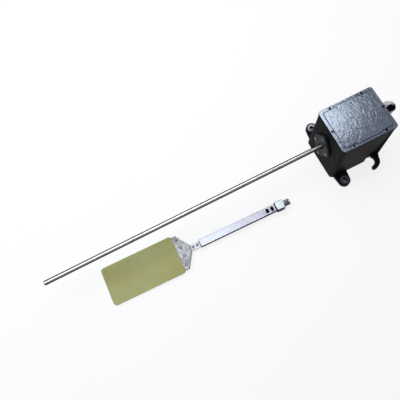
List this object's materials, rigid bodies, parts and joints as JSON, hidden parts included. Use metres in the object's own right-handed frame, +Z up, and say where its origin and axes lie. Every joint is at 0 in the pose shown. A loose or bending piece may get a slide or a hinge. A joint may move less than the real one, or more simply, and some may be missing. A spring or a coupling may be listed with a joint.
{
  "type": "rotary paddle level switch",
  "caption": "Bulk level switch: cast housing on four ears, long paddle shaft out of its front, cable gland behind, and the loose paddle on its arm lying beside the shaft.",
  "frame": {"origin": "middle of the housing on its mounting plane", "axes": "+X along the paddle shaft out of the front face, +Z up through the lid"},
  "size_m": [0.9475, 0.2105, 0.168],
  "materials": {
    "black_paint": "gloss hammered paint on cast iron",
    "flange_paint": "satin paint",
    "rubber": "matte",
    "shaft_steel": "ground stainless",
    "arm_steel": "mottled stainless",
    "nut_steel": "bright plated",
    "steel": "turned steel",
    "zinc_plate": "zinc plated sheet",
    "bronze": "turned bronze",
    "nickel_brass": "nickel plated",
    "grey_plastic": "moulded",
    "black_plastic": "moulded",
    "paddle_polyurethane": "matte cast sheet"
  },
  "bodies": {
    "housing": {"housing": "black_paint", "lid": "black_paint", "lid_gasket": "rubber", "lid_screws": "steel", "bearing_housing": "flange_paint", "flange_gasket": "rubber", "flange_screws": "steel", "front_bearing": "steel", "rear_bearing": "steel", "bearing_spacer": "steel", "shaft_seal": "rubber", "bearing_cap": "steel", "cap_screws": "steel", "swivel_circlip": "steel", "return_spring": "steel", "spring_anchor": "steel", "stop_post": "steel", "mounting_plate": "zinc_plate", "mounting_plate_screws": "steel", "switch_bracket": "zinc_plate", "bracket_screws": "steel", "motor_switch": "black_plastic", "alarm_switch": "black_plastic", "switch_screws": "steel", "switch_washers": "steel", "terminal_stand": "zinc_plate", "terminal_block": "grey_plastic", "terminal_screws": "steel", "earth_stud": "bronze", "gland_washer": "rubber", "gland_body": "nickel_brass", "gland_nut": "nickel_brass", "gland_seal": "rubber"},
    "shaft": {"paddle_shaft": "shaft_steel", "shaft_circlips": "steel", "coupling": "steel", "coupling_screws": "steel", "motor_output_shaft": "steel"},
    "motor_swing": {"swivel_plate": "zinc_plate", "swivel_bush": "bronze", "motor_pillars": "steel", "pillar_nuts": "steel", "gearbox": "zinc_plate", "motor": "grey_plastic", "actuator_pin": "steel", "spring_pin": "steel"},
    "motor_lever": {"motor_switch_lever": "steel"},
    "alarm_lever": {"alarm_switch_lever": "steel"},
    "paddle": {"paddle_sheet": "paddle_polyurethane", "clamp_plate_upper": "arm_steel", "clamp_plate_lower": "arm_steel", "clamp_rivets": "arm_steel", "arm_tube": "arm_steel", "arm_tube_pins": "arm_steel", "shaft_socket": "arm_steel", "lock_nut": "nut_steel"}
  },
  "joints": [
    {"name": "paddle_shaft_turn", "type": "hinge", "parent": "housing", "child": "shaft", "pos_m": [0.05, -0.0055, 0.084], "axis": [1, 0, 0], "continuous": true},
    {"name": "motor_swing_turn", "type": "hinge", "parent": "housing", "child": "motor_swing", "pos_m": [0.04273, -0.0055, 0.084], "axis": [1, 0, 0], "range_deg": [0, 8], "stiffness_Nm_per_rad": 0.5, "springref_deg": -14.32, "deforming": ["return_spring"]},
    {"name": "motor_lever_turn", "type": "hinge", "parent": "housing", "child": "motor_lever", "pos_m": [0.01988, 0.0365, 0.0877], "axis": [-1, 0, 0], "range_deg": [0, 20.5]},
    {"name": "alarm_lever_turn", "type": "hinge", "parent": "housing", "child": "alarm_lever", "pos_m": [0.03118, 0.0365, 0.0877], "axis": [-1, 0, 0], "range_deg": [0, 20.5]},
    {"name": "paddle_lift", "type": "slide", "parent": "housing", "child": "paddle", "axis": [0, 0, 1], "range_m": [0, 0.3]}
  ],
  "couplings": [
    {"joint": "motor_lever_turn", "follows": "motor_swing_turn", "ratio": 2.5},
    {"joint": "alarm_lever_turn", "follows": "motor_swing_turn", "ratio": 2.5}
  ]
}
